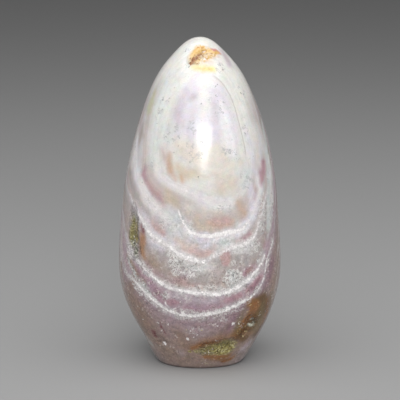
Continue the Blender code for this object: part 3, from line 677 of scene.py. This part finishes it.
# the hollows that hold crystals, placed as in the frame:
# turn, height, half width, half height and depth in mm, lean, and how dull the crystals are
hollows = [(8, 141.5, 6.6, 5.0, .8, -25, .25), (-56, 64.5, 4.2, 13.2, 1.7, -5, 1),
    (-52, 56.5, 2.6, 4.8, 1.0, 0, 1), (47, 22.8, 4.6, 4.4, 1.6, 0, 1), (42, 17.8, 2.2, 4.2, 1.0, 38, 1),
    (17, 11.8, 8.8, 3.4, .9, 0, 1), (-42, 13.8, 4.2, 3.0, .8, 0, .5), (35, 43.0, 3.0, 2.2, .6, 0, .6),
    (112, 64.0, 3.8, 11.5, 1.4, 14, 1), (163, 98.0, 5.6, 8.8, 1.4, -26, 1),
    (-152, 22.5, 9.2, 4.8, 1.3, 0, 1), (-116, 112.0, 3.4, 4.8, .9, 10, 1)]
crystals = {
    "size": 1.1,                              # mm from one to the next
    "rise": 0.3, "top": 0.7, "slope": 2,      # mm high, and how one falls away from its point
    "fill": 0.55,                             # share of a hollow's depth that they fill, in heaps
    "heaping": 0.8, "heapSize": 3.0,
    "most": 0.85,                             # share of the depth that none of them passes
    "edge": 1.6,                              # mm over which they stop at the hollow's rim
}
# how the colours and covers are laid on the stone's points
laying = {
    "hiddenFrom": 68, "hiddenOver": 20,       # degrees from the front where the hidden side starts
    "coarseBelow": 90, "coarseOver": 40,      # mm up where the stone gets coarser, and how soon
    "coarseLeast": 0.12,
    "leastTurned": 0.35, "leastFacing": 0.5,  # a patch turned away is widened by these at most
    # shapes wander: mm from bump to bump and mm sideways, and the shares of it that are taken
    "wander": ((7.0, 1.3), (2.4, 0.7)),
    "seed": 4,                                # where in the noise they wander
    "shellShare": 0.8, "washShare": 0.7, "pigmentShare": 0.5, "lineShare": 0.25,
    "outlineSoft": 1.6, "fringeSoft": 4.0,    # pixels
}


def ovalOnFront(stone, points, oval):
    across, down, halfWidth, halfHeight, lean, soft, strength = oval
    centre, normal, pixel = seenAt(stone, across, down)
    level, rise = tangents(normal, 0)
    # the oval is traced as it is seen, so it widens where it turns away
    turned = max(laying["leastTurned"], abs(level[0]))
    tipped = max(laying["leastFacing"], abs(rise[2]))
    return ovalCover(points, centre, normal, halfWidth * pixel / turned, halfHeight * pixel / tipped, lean,
                     soft * pixel, strength)


# how far each point is inside a line traced on the stone, whose places seenAt or turnedTo finds;
# with widen it is a patch, which widens like the ovals
def strokeOn(stone, points, knots, soft, strength, find=seenAt, widen=False):
    if len(knots) == 1:
        knots = knots * 2
    places = [find(stone, across, down) for across, down, width in knots]
    pixel = places[0][2]
    widths = []
    for (across, down, width), (place, normal, size) in zip(knots, places):
        facing = max(laying["leastFacing"], -normal[1]) if widen else 1.0
        widths.append(width * size / facing)
    return lineCover(points, np.array([place[0] for place in places]), widths, soft * pixel, strength)


def meshPoints(mesh):
    points = np.empty(len(mesh.vertices) * 3)
    mesh.vertices.foreach_get("co", points)
    return points.reshape(-1, 3) / mm


# how far each point is inside the hollows, and how deep the hollow is there
def hollowCover(stone, points):
    cover = np.full(len(points), outside)
    depths = np.zeros(len(points))
    for turn, height, halfWidth, halfHeight, depth, lean, dull in hollows:
        centre, normal, size = turnedTo(stone, turn, height)
        inside = ovalCover(points, centre, normal, halfWidth, halfHeight, lean, crystals["edge"], 1)
        depths = np.maximum(depths, depth * np.clip(inside, 0, 1))
        cover = np.maximum(cover, inside * dull)
    return cover, depths


# small pointed crystals on the floors of the hollows, in heaps that half fill them
def growCrystals(stone):
    mesh = stone.data
    points = meshPoints(mesh)
    cover, depths = hollowCover(stone, points)
    cover = np.clip(cover, 0, 1)
    outwards = [vertex.normal.copy() for vertex in mesh.vertices]
    for index in np.nonzero(cover)[0]:
        point = Vector(points[index])
        away = noise.voronoi(point / crystals["size"], distance_metric="MANHATTAN")[0][0]
        heap = crystals["fill"] * (1 + crystals["heaping"] * noise.noise(point / crystals["heapSize"]))
        peak = crystals["rise"] * (crystals["top"] - crystals["slope"] * away)
        rise = min(depths[index] * heap + peak * cover[index], depths[index] * crystals["most"])
        mesh.vertices[index].co += outwards[index] * rise * mm
    mesh.update()
    print("crystals grown on", np.count_nonzero(cover), "points")


def wanderOf(points):
    noise.seed_set(laying["seed"])
    (size, reach), (smallSize, smallReach) = laying["wander"]
    return np.array([noise.noise_vector(Vector(point / size)) * reach
                     + noise.noise_vector(Vector(point / smallSize)) * smallReach for point in points])


# the colour of each point: the shells' own, then the washes of the hidden side and of the front
def groundColours(stone, points, shell, wander):
    depths = [depth for depth, colour in shellColours]
    across = shell + wander[:, 0] * laying["shellShare"]
    ground = np.stack([np.interp(across, depths, [colour[part] for depth, colour in shellColours])
                       for part in range(3)], axis=1)
    moved = points + wander * laying["washShare"]
    for find, coats in ((turnedTo, hiddenWashes), (seenAt, washes)):
        for colour, soft, strength, knots in coats:
            cover = strokeOn(stone, moved, knots, soft, strength, find, find is seenAt)
            cover = np.clip(cover, 0, 1)[:, None]
            ground += cover * cover * (3 - 2 * cover) * (np.array(palette[colour]) - ground)
    return ground


# the white lines of the bands and the painted reflection along the lower right edge, soft inwards and
# outwards in their own ways, and the outlines of small shapes
def whiteCover(stone, points, shell):
    cover = np.full(len(points), outside)
    for line, (softIn, softOut, strength) in whiteBandsAndRimReflection["lines"].items():
        depth = shells["levels"].get(line)
        inner = strokeOn(stone, points, bandLines[line], softIn, strength)
        outer = strokeOn(stone, points, bandLines[line], softOut, strength)
        cover = np.maximum(cover, inner if depth is None else np.where(shell < depth, inner, outer))
    for knots in whiteBandsAndRimReflection["outlines"]:
        cover = np.maximum(cover, strokeOn(stone, points, knots, laying["outlineSoft"], 1.0))
    return cover


def addPigments(stone):
    mesh = stone.data
    points = meshPoints(mesh)

    def write(name, values):
        mesh.attributes.new(name, "FLOAT", "POINT").data.foreach_set("value", values.astype(np.float32))

    shell = bentShells(stone, points)
    write("shell", shell)
    turn = np.degrees(np.arctan2(np.abs(points[:, 0]), -points[:, 1]))
    write("hiddenSide", np.clip((turn - laying["hiddenFrom"]) / laying["hiddenOver"], 0, 1))
    below = (laying["coarseBelow"] - points[:, 2]) / laying["coarseOver"]
    write("coarse", np.clip(below, laying["coarseLeast"], 1.0))
    write("hollow", hollowCover(stone, points)[0])
    wander = wanderOf(points)
    ground = groundColours(stone, points, shell, wander)
    tints = mesh.attributes.new("ground", "FLOAT_COLOR", "POINT")
    tints.data.foreach_set("color", np.hstack([ground, np.ones((len(points), 1))]).astype(np.float32).ravel())

    moved = points + wander * laying["pigmentShare"]
    for name, pigment in pigments.items():
        cover = [strokeOn(stone, moved, knots, soft, strength, seenAt, True)
                 for knots, soft, strength in pigment["strokes"]]
        write(name, np.max(cover, axis=0))
    moved = points + wander * laying["lineShare"]
    write("whiteBandsAndRimReflection", whiteCover(stone, moved, shell))
    soft = laying["fringeSoft"]
    cover = [strokeOn(stone, moved, bandLines[line], soft, 1) for line in whiteBandsAndRimReflection["fringed"]]
    write("fringe", np.max(cover, axis=0))
    for name, strokes in thinLines.items():
        cover = [strokeOn(stone, points, knots, soft, strength) for knots, soft, strength in strokes]
        write(name, np.clip(np.max(cover, axis=0), 0, 1))
    for name, places in (("lacy", lacyPlaces), ("flecked", fleckedPlaces)):
        cover = [ovalOnFront(stone, points + wander, oval) for oval in places]
        write(name, np.maximum(np.max(cover, axis=0), 0))
    print("pigments laid:", len(washes) + len(hiddenWashes), "washes and", len(pigments), "crusts")


# the stone's paint; the functions below add to its nodes
paint = bpy.data.materials.new("polishedJasper")
paint.use_nodes = True
tree = paint.node_tree


def addNode(kind, settings=None, **inputs):
    node = tree.nodes.new(kind)
    for name, value in (settings or {}).items():
        setattr(node, name, value)
    for name, value in inputs.items():
        # i0 is the first input, and so on, where several inputs have one name
        socket = node.inputs[int(name[1:])] if name[0] == "i" and name[1:].isdigit() else node.inputs[name]
        if isinstance(value, bpy.types.NodeSocket):
            tree.links.new(value, socket)
        else:
            socket.default_value = value
    return node


def maths(operation, first, second=0.0, third=0.0):
    return addNode("ShaderNodeMath", {"operation": operation}, i0=first, i1=second, i2=third).outputs[0]


def times(first, second):
    return maths("MULTIPLY", first, second)


# first times second, plus third
def timesPlus(first, second, third):
    return maths("MULTIPLY_ADD", first, second, third)


def vectorMaths(operation, first, second=(0, 0, 0), third=(0, 0, 0)):
    return addNode("ShaderNodeVectorMath", {"operation": operation}, i0=first, i1=second, i2=third).outputs[0]


def blend(share, below, above):
    if isinstance(above, tuple):
        above = (*above, 1)
    if isinstance(below, tuple):
        below = (*below, 1)
    return addNode("ShaderNodeMix", {"data_type": "RGBA"}, i0=share, i6=below, i7=above).outputs[2]


def attribute(name):
    return addNode("ShaderNodeAttribute", {"attribute_name": name}).outputs["Fac"]


def stepUp(value, low, high):
    node = addNode("ShaderNodeMapRange", {"interpolation_type": "SMOOTHSTEP"}, i0=value, i1=low, i2=high)
    return node.outputs[0]


# noise with bumps of one size in mm, from about -1 to 1
def cloud(place, size, detail=3.0):
    node = addNode("ShaderNodeTexNoise", Vector=place, Scale=1 / size, Detail=detail, Roughness=0.55)
    return timesPlus(node.outputs["Fac"], 4.0, -2.0)


# noise and cells that all stages of the paint share; each cloud is mm from bump to bump
texture = {
    "clouds": (6.0, 2.2, 0.8),
    "shakeScale": 0.9,          # shakes to a mm
    "shakeReach": 3.0,          # how far they push, in mm
    "grainScale": 1.2,          # grains to a mm
    "fray": 0.7,
    "clusterSize": 3.6, "clusterEdge": (-0.3, 0.7),
    "shellBroad": 0.5, "shellFine": 0.2,
    "waveSize": 12.0, "waveReach": 1.6,     # of the hidden side's bands, in mm
}


def sharedFields():
    coordinates = addNode("ShaderNodeTexCoord").outputs["Object"]
    place = addNode("ShaderNodeVectorMath", {"operation": "SCALE"}, i0=coordinates, Scale=1 / mm).outputs[0]
    scale = texture["shakeScale"]
    shakes = addNode("ShaderNodeTexNoise", Vector=place, Scale=scale, Detail=2.0).outputs["Color"]
    shakes = vectorMaths("SUBTRACT", shakes, (0.5, 0.5, 0.5))
    shaken = vectorMaths("MULTIPLY_ADD", shakes, (texture["shakeReach"],) * 3, place)
    broad, middling, fine = [cloud(place, size) for size in texture["clouds"]]
    hidden = attribute("hiddenSide")
    waves = times(cloud(place, texture["waveSize"]), hidden)
    shell = timesPlus(broad, texture["shellBroad"], attribute("shell"))
    shell = timesPlus(fine, texture["shellFine"], shell)
    shell = timesPlus(waves, texture["waveReach"], shell)
    grains = addNode("ShaderNodeTexVoronoi", {"feature": "F1"}, Vector=shaken, Scale=texture["grainScale"])
    grains = addNode("ShaderNodeSeparateColor", i0=grains.outputs["Color"]).outputs
    clusters = stepUp(cloud(place, texture["clusterSize"], 2.0), *texture["clusterEdge"])
    return SimpleNamespace(place=place, shakes=shakes, shaken=shaken,
                           broad=broad, middling=middling, fine=fine,
                           fray=timesPlus(fine, texture["fray"], middling), hidden=hidden, shell=shell,
                           grains=grains, clusters=clusters, coarse=attribute("coarse"))


# crisp blotches, thin layers along the shells and drifting hues, as shares of the stone's tone, and a painted
# shade over the lowest mm of the foot
mottling = {
    "blotchSize": 1.8, "blotchEdge": (-0.2, 0.2), "blotches": 0.15,
    "grain": 0.42, "middling": 0.10, "broad": 0.05,
    "layerSize": 0.9, "layerTwist": 0.8, "layerEdge": (-0.4, 0.4), "layers": 0.08, "inClusters": -0.6,
    "crispSize": 0.5, "crisp": 0.035, "crispInCoarse": 0.09,
    # painted shade: the tone falls towards the floor over the lowest mm, as a contact shadow
    "footHeight": 1.6, "footShade": 0.3,          # mm up from the floor, and the tone left at the floor
    "hueScale": 0.35, "hueSpread": (0.22, 0.14, 0.22), "hueFrom": (0.89, 0.93, 0.89),
}


def mottleToneAndFootShade(field):
    blotches = stepUp(cloud(field.shaken, mottling["blotchSize"], 2.0), *mottling["blotchEdge"])
    blotches = timesPlus(blotches, mottling["blotches"], -mottling["blotches"] / 2)
    grain = timesPlus(times(field.fine, field.clusters), mottling["grain"], blotches)
    grain = timesPlus(field.middling, mottling["middling"], grain)
    twist = times(field.broad, mottling["layerTwist"])
    layers = addNode("ShaderNodeCombineXYZ", i0=field.shell, i1=twist).outputs[0]
    layering = stepUp(cloud(layers, mottling["layerSize"], 2.0), *mottling["layerEdge"])
    layering = timesPlus(layering, mottling["layers"], -mottling["layers"] / 2)
    tone = timesPlus(grain, field.coarse, 1.0)
    tone = timesPlus(layering, timesPlus(field.clusters, mottling["inClusters"], 1.0), tone)
    tone = timesPlus(field.broad, mottling["broad"], tone)
    crisp = timesPlus(field.coarse, mottling["crispInCoarse"], mottling["crisp"])
    tone = timesPlus(cloud(field.place, mottling["crispSize"], 1.0), crisp, tone)
    # painted shade: darker over the lowest mm, where the stone meets the floor
    height = addNode("ShaderNodeSeparateXYZ", i0=field.place).outputs["Z"]
    lit = stepUp(height, 0.0, mottling["footHeight"])
    return times(tone, timesPlus(lit, 1 - mottling["footShade"], mottling["footShade"]))


def driftHues(field, colour):
    hues = addNode("ShaderNodeTexNoise", Vector=field.place, Scale=mottling["hueScale"], Detail=3.0)
    hues = vectorMaths("MULTIPLY_ADD", hues.outputs["Color"], mottling["hueSpread"], mottling["hueFrom"])
    return vectorMaths("MULTIPLY", colour, hues)


# the white bands of the sides and the back, broken into streaks; mm but for the levels
streaks = {
    "size": 7.0, "edge": (-0.9, 0.2),
    "fray": 0.4, "outer": 0.9, "inner": 0.4,
}


def streakHiddenSide(field, colour):
    streaked = times(field.hidden, stepUp(cloud(field.place, streaks["size"]), *streaks["edge"]))
    for depth, width in hiddenBands:
        away = maths("ABSOLUTE", maths("SUBTRACT", field.shell, depth))
        away = timesPlus(field.fray, streaks["fray"], away)
        line = stepUp(away, width + streaks["outer"], width - streaks["inner"])
        colour = blend(times(line, streaked), colour, whiteBandsAndRimReflection["colour"])
    return colour


# white threads and crumbs round small dark cells, in the lacy places, patches of the hidden side and fringes
lacework = {
    "broad": 0.5, "middling": 0.7, "edge": (0.2, 0.75),
    "patchSize": 10.0, "patchEdge": (0.2, 0.7),
    "fringeEdge": (-1.0, 0.4), "fringeSize": 4.5, "fringeGaps": (-0.2, 0.6), "fringeCoarse": (0.3, 0.9),
    "cellSize": 1.5, "cellEdge": (0.0, 0.6), "cells": 0.65, "cellColour": (0.26, 0.23, 0.22),
    "netScale": 0.6, "netRough": 0.06, "creases": 0.5, "threadEdge": (0.11, 0.02), "threads": 0.95,
    "threadColour": (0.74, 0.73, 0.71),
    "crumbEdge": (0.75, 0.95), "crumbColour": (0.80, 0.78, 0.76),
}


def layLace(field, colour):
    share = timesPlus(field.middling, lacework["middling"], 1.0)
    share = timesPlus(field.broad, lacework["broad"], share)
    share = stepUp(times(attribute("lacy"), share), *lacework["edge"])
    patches = stepUp(cloud(field.place, lacework["patchSize"]), *lacework["patchEdge"])
    share = maths("MAXIMUM", share, times(field.hidden, patches))
    gaps = stepUp(cloud(field.place, lacework["fringeSize"], 2.0), *lacework["fringeGaps"])
    fringe = times(stepUp(attribute("fringe"), *lacework["fringeEdge"]), gaps)
    fringe = times(fringe, stepUp(field.coarse, *lacework["fringeCoarse"]))
    share = maths("MAXIMUM", share, fringe)
    cells = cloud(field.place, lacework["cellSize"], 2.0)
    gloom = times(share, stepUp(cells, *lacework["cellEdge"]))
    colour = blend(times(gloom, lacework["cells"]), colour, lacework["cellColour"])
    settings = {"feature": "DISTANCE_TO_EDGE"}
    net = addNode("ShaderNodeTexVoronoi", settings, Vector=field.shaken, Scale=lacework["netScale"])
    threads = timesPlus(field.middling, lacework["netRough"], net.outputs["Distance"])
    creases = times(maths("ABSOLUTE", cells), lacework["creases"])
    threads = stepUp(maths("MINIMUM", threads, creases), *lacework["threadEdge"])
    threads = times(share, times(threads, lacework["threads"]))
    colour = blend(threads, colour, lacework["threadColour"])
    crumbs = times(share, stepUp(field.fine, *lacework["crumbEdge"]))
    return blend(crumbs, colour, lacework["crumbColour"]), share


# milky white lines with broken cores, for the bands and for the painted reflection along the lower right edge
def layWhiteBandsAndRimReflection(field, colour):
    bands = timesPlus(field.fray, whiteBandsAndRimReflection["ragged"], 1.0)
    bands = times(attribute("whiteBandsAndRimReflection"), bands)
    milk = times(stepUp(bands, *whiteBandsAndRimReflection["milkEdge"]), whiteBandsAndRimReflection["milk"])
    colour = blend(milk, colour, whiteBandsAndRimReflection["colour"])
    gaps = stepUp(cloud(field.place, whiteBandsAndRimReflection["coreSize"], 2.0), *whiteBandsAndRimReflection["coreGaps"])
    core = times(stepUp(bands, *whiteBandsAndRimReflection["coreEdge"]), gaps)
    return blend(core, colour, whiteBandsAndRimReflection["core"])


# the thin dark line round the heart, and fine parallel layers in places; widths and gaps in mm
linework = {
    "rough": 0.1, "heartEdge": (0.34, 0.1), "heart": 0.6, "heartColour": (0.40, 0.34, 0.32),
    "ringTwist": 0.8, "ringGap": 0.55, "ringEdge": (0.2, 0.05), "ringBreaks": (-0.3, 0.4),
    "hiddenSize": 11.0, "hiddenEdge": (0.1, 0.6), "rings": 0.45, "ringColour": (0.70, 0.67, 0.68),
}


def drawThinLines(field, colour):
    depth = timesPlus(field.middling, linework["rough"], attribute("shell"))
    edge = maths("ABSOLUTE", maths("SUBTRACT", depth, shells["levels"]["heartEdge"]))
    edge = times(stepUp(edge, *linework["heartEdge"]), attribute("heartLine"))
    colour = blend(times(edge, linework["heart"]), colour, linework["heartColour"])
    rings = maths("PINGPONG", timesPlus(field.broad, linework["ringTwist"], depth), linework["ringGap"])
    breaks = stepUp(field.middling, *linework["ringBreaks"])
    rings = times(stepUp(rings, *linework["ringEdge"]), breaks)
    patches = stepUp(cloud(field.place, linework["hiddenSize"], 1.0), *linework["hiddenEdge"])
    ringed = times(field.hidden, patches)
    rings = times(rings, maths("MAXIMUM", ringed, attribute("layered")))
    return blend(times(rings, linework["rings"]), colour, linework["ringColour"])


# the stains and crusts are heaps of grains, more of them dark or light where a pigment's "grains" is higher
graining = {
    "edge": (0.15, 0.85), "fine": 0.35, "middling": -0.2,
    "darkFrom": (1.05, 1.2), "darker": 0.4, "dark": 0.8,
    "lightFrom": (1.1, 1.2), "lighter": 0.3, "light": 0.9,
}


def layStains(field, colour):
    darkness = timesPlus(field.fine, graining["fine"], field.grains[0])
    lightness = timesPlus(field.middling, graining["middling"], field.grains[1])
    for name, pigment in pigments.items():
        darkEdge = [level - graining["darker"] * pigment["grains"] for level in graining["darkFrom"]]
        lightEdge = [level - graining["lighter"] * pigment["grains"] for level in graining["lightFrom"]]
        dark = times(stepUp(darkness, *darkEdge), graining["dark"])
        light = times(stepUp(lightness, *lightEdge), graining["light"])
        tint = blend(dark, pigment["colour"], pigment["dark"])
        tint = blend(light, tint, pigment["light"])
        cover = times(attribute(name), timesPlus(field.fray, pigment["ragged"], 1.0))
        colour = blend(stepUp(cover, *graining["edge"]), colour, tint)
    return colour


# grey flecks in the white, painted glints and murky grains sprinkled lower down, fine pits, and the single
# specks, some of them painted glints
flecking = {
    "size": 1.5, "edge": (0.3, 0.1), "clusterSize": 2.4, "clusterEdge": (0.1, 0.4), "placeEdge": (0.0, 0.6),
    "flecks": 0.65, "colour": (0.30, 0.30, 0.31),
    "speckShake": 2.4, "speckEdge": 0.15, "far": 9.0,      # mm
}
sprinkling = {
    "coarseEdge": (0.75, 1.0), "size": 9.0, "edge": (0.0, 0.4),
    # painted glints: the bright grains
    "glintEdge": (0.91, 0.94), "bright": 0.6, "glintColour": (0.72, 0.64, 0.60),
    "murkyEdge": (0.12, 0.07), "murky": 0.5, "murkyColour": (0.14, 0.10, 0.09),
}
pitting = {
    "size": 0.9, "broad": 0.3, "coarse": 0.1, "edge": (0.95, 1.1), "pits": 0.55, "colour": (0.18, 0.17, 0.16),
}


def addFlecks(field, colour):
    flecks = maths("ABSOLUTE", cloud(field.shaken, flecking["size"], 1.0))
    clusters = stepUp(cloud(field.place, flecking["clusterSize"], 1.0), *flecking["clusterEdge"])
    flecks = times(stepUp(flecks, *flecking["edge"]), clusters)
    flecks = times(flecks, stepUp(attribute("flecked"), *flecking["placeEdge"]))
    return blend(times(flecks, flecking["flecks"]), colour, flecking["colour"]), flecks


def addSprinkle(field, colour):
    sprinkle = stepUp(cloud(field.place, sprinkling["size"], 2.0), *sprinkling["edge"])
    sprinkle = times(stepUp(field.coarse, *sprinkling["coarseEdge"]), sprinkle)
    # painted glints: bright grains sprinkled over the lower body
    bright = times(stepUp(field.grains[0], *sprinkling["glintEdge"]), sprinkle)
    colour = blend(times(bright, sprinkling["bright"]), colour, sprinkling["glintColour"])
    murky = times(stepUp(field.grains[1], *sprinkling["murkyEdge"]), sprinkle)
    return blend(times(murky, sprinkling["murky"]), colour, sprinkling["murkyColour"])


def addPits(field, colour):
    pits = timesPlus(field.coarse, pitting["coarse"], cloud(field.place, pitting["size"], 1.5))
    pits = stepUp(timesPlus(field.broad, pitting["broad"], pits), *pitting["edge"])
    return blend(times(pits, pitting["pits"]), colour, pitting["colour"]), pits


# dark specks, and bright specks that are in part painted glints
def addSpecksAndGlints(stone, field, colour):
    shaken = vectorMaths("MULTIPLY_ADD", field.shakes, (flecking["speckShake"],) * 3, field.place)
    for speck in specksAndGlints.values():
        nearest = flecking["far"]
        for across, down in speck["places"]:
            centre = tuple(seenAt(stone, across, down)[0])
            away = addNode("ShaderNodeVectorMath", {"operation": "DISTANCE"}, i0=shaken, i1=centre)
            nearest = maths("MINIMUM", away.outputs["Value"], nearest)
        radius, soft = speck["radius"], flecking["speckEdge"]
        cover = times(stepUp(nearest, radius + soft, radius - soft), speck["strength"])
        colour = blend(cover, colour, speck["colour"])
    return colour


# polished all over, but rough and glittering in the hollows
polish = {
    "roughness": 0.16, "fine": 0.02, "pits": 0.2, "lace": 0.06,
    "hollowFray": 0.4, "hollowEdge": (0.2, 1.0), "hollows": 0.12, "hollowGrains": 0.3,
    "facetScale": 1.4, "facets": -0.5, "pitDepth": -0.06,      # facets to a mm, and heights in mm
    "refraction": 1.54,
}


def polishSurface(field, shader, lace, flecks, pits):
    openings = timesPlus(field.fray, polish["hollowFray"], attribute("hollow"))
    openings = stepUp(openings, *polish["hollowEdge"])
    dullness = timesPlus(field.fine, polish["fine"], polish["roughness"])
    dullness = timesPlus(maths("MAXIMUM", pits, flecks), polish["pits"], dullness)
    dullness = timesPlus(lace, polish["lace"], dullness)
    rough = timesPlus(field.grains[2], polish["hollowGrains"], polish["hollows"])
    tree.links.new(timesPlus(openings, rough, dullness), shader.inputs["Roughness"])
    settings = {"feature": "F1", "distance": "MANHATTAN"}
    facets = addNode("ShaderNodeTexVoronoi", settings, Vector=field.place, Scale=polish["facetScale"])
    relief = times(times(facets.outputs["Distance"], openings), polish["facets"])
    relief = timesPlus(pits, polish["pitDepth"], relief)
    bump = addNode("ShaderNodeBump", Strength=1.0, Distance=mm, Height=relief)
    tree.links.new(bump.outputs["Normal"], shader.inputs["Normal"])
    shader.inputs["IOR"].default_value = polish["refraction"]


def mixPaint(stone):
    shader = tree.nodes["Principled BSDF"]
    field = sharedFields()
    colour = addNode("ShaderNodeAttribute", {"attribute_name": "ground"}).outputs["Color"]
    colour = driftHues(field, colour)
    colour = streakHiddenSide(field, colour)
    colour, lace = layLace(field, colour)
    colour = layWhiteBandsAndRimReflection(field, colour)
    tone = mottleToneAndFootShade(field)
    colour = addNode("ShaderNodeVectorMath", {"operation": "SCALE"}, i0=colour, Scale=tone).outputs[0]
    colour = drawThinLines(field, colour)
    colour = layStains(field, colour)
    colour, flecks = addFlecks(field, colour)
    colour = addSprinkle(field, colour)
    colour, pits = addPits(field, colour)
    colour = addSpecksAndGlints(stone, field, colour)
    tree.links.new(colour, shader.inputs["Base Color"])
    polishSurface(field, shader, lace, flecks, pits)
    print("paint mixed:", len(tree.nodes), "nodes")


deselectAll()
addCamera()
addStudio()
stone = stoneForm()
growCrystals(stone)
addPigments(stone)
mixPaint(stone)
stone.data.materials.append(paint)
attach(stone, "root")
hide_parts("stone")
